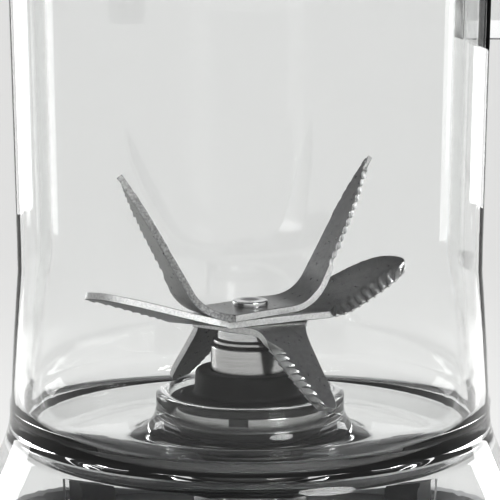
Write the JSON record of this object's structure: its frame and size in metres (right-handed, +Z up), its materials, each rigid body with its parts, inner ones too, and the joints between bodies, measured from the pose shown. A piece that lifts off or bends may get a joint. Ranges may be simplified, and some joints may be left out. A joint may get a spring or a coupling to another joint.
{
  "type": "countertop blender",
  "caption": "Countertop blender with a motor base, a clear fluted jar that lifts off, a bent-wing blade set, a handle, a lid and a clear cap.",
  "frame": {"origin": "on the jar's axis, on the plane that the feet stand on", "axes": "+Z up along the jar's axis; -Y is the front with the controls; +X is the side with the handle"},
  "size_m": [0.2078, 0.233, 0.416],
  "materials": {
    "base_plastic": "fine satin texture",
    "deck_plastic": "satin",
    "rubber": "matt",
    "panel_plastic": "satin gloss",
    "chrome_trim": "polished",
    "knob_plastic": "satin",
    "pointer_white": "painted",
    "potentiometer_grey": "plated",
    "board_green": "solder mask",
    "component_grey": "mixed",
    "cast_aluminium": "cast",
    "bearing_steel": "ground",
    "laminated_steel": "stacked sheets",
    "copper": "enamelled wire",
    "brass": "sawn",
    "carbon": "pressed carbon",
    "fan_plastic": "moulded",
    "coupling_steel": "machined",
    "clear_jar": "clear moulded plastic, smooth",
    "clear_cap": "clear moulded plastic",
    "handle_plastic": "satin",
    "nut_plastic": "moulded",
    "seal_rubber": "matt",
    "brushed_steel": "brushed",
    "polished_steel": "turned",
    "lid_plastic": "soft matt",
    "pad_rubber": "matt grey"
  },
  "bodies": {
    "base": {"base_housing": "base_plastic", "top_deck": "deck_plastic", "seat_pad": "pad_rubber", "bottom_cover": "base_plastic", "feet": "rubber", "base_screws": "bearing_steel", "control_panel": "panel_plastic", "dial_bezel": "chrome_trim", "switch_frames": "panel_plastic", "speed_potentiometer": "potentiometer_grey", "circuit_board": "board_green", "board_components": "component_grey", "cord_gland": "rubber", "motor_lower_bracket": "cast_aluminium", "motor_upper_bracket": "cast_aluminium", "motor_bearings": "bearing_steel", "motor_bolts": "bearing_steel", "motor_mounts": "rubber", "stator_core": "laminated_steel", "field_coils": "copper", "brush_holders": "brass", "carbon_brushes": "carbon"},
    "rotor": {"motor_shaft": "bearing_steel", "armature_core": "laminated_steel", "armature_windings": "copper", "commutator": "copper", "cooling_fan": "fan_plastic", "drive_socket": "coupling_steel"},
    "knob": {"potentiometer_shaft": "bearing_steel", "speed_knob": "knob_plastic", "knob_pointer": "pointer_white"},
    "power_switch": {"power_rocker": "knob_plastic"},
    "pulse_switch": {"pulse_rocker": "knob_plastic"},
    "jar": {"jar_body": "clear_jar", "handle": "handle_plastic", "handle_grip": "rubber", "handle_screws": "bearing_steel", "retaining_nut": "nut_plastic", "housing_gasket": "rubber", "bearing_housing": "brushed_steel", "bearing_seal": "rubber", "jar_bearings": "bearing_steel", "bearing_spacer": "bearing_steel", "shaft_seal": "seal_rubber"},
    "blades": {"blade_shaft": "polished_steel", "blade_lower": "brushed_steel", "blade_middle": "brushed_steel", "blade_upper": "brushed_steel", "spacer_ring": "polished_steel", "thrust_washer": "polished_steel", "shaft_circlip": "coupling_steel", "drive_coupling": "coupling_steel"},
    "lid": {"lid": "lid_plastic", "lid_gasket": "rubber"},
    "cap": {"measuring_cap": "clear_cap"}
  },
  "joints": [
    {"name": "motor_spin", "type": "hinge", "parent": "base", "child": "rotor", "pos_m": [0, 0, 0.1], "axis": [0, 0, 1], "continuous": true},
    {"name": "speed_knob_turn", "type": "hinge", "parent": "base", "child": "knob", "pos_m": [0, -0.1065, 0.084], "axis": [0, -1, 0], "range_deg": [-135, 135]},
    {"name": "power_switch_rock", "type": "hinge", "parent": "base", "child": "power_switch", "pos_m": [-0.042, -0.1035, 0.084], "axis": [-1, 0, 0], "range_deg": [0, 16]},
    {"name": "pulse_switch_rock", "type": "hinge", "parent": "base", "child": "pulse_switch", "pos_m": [0.042, -0.1035, 0.084], "axis": [-1, 0, 0], "range_deg": [0, 8], "stiffness_Nm_per_rad": 0.1, "springref_deg": -2.86},
    {"name": "jar_lift", "type": "slide", "parent": "base", "child": "jar", "axis": [0, 0, 1], "range_m": [0, 0.1]},
    {"name": "blade_spin", "type": "hinge", "parent": "jar", "child": "blades", "pos_m": [0, 0, 0.2], "axis": [0, 0, 1], "continuous": true},
    {"name": "lid_lift", "type": "slide", "parent": "jar", "child": "lid", "axis": [0, 0, 1], "range_m": [0, 0.06]},
    {"name": "cap_lift", "type": "slide", "parent": "lid", "child": "cap", "axis": [0, 0, 1], "range_m": [0, 0.05]}
  ],
  "couplings": [
    {"joint": "blade_spin", "follows": "motor_spin", "ratio": 1}
  ]
}
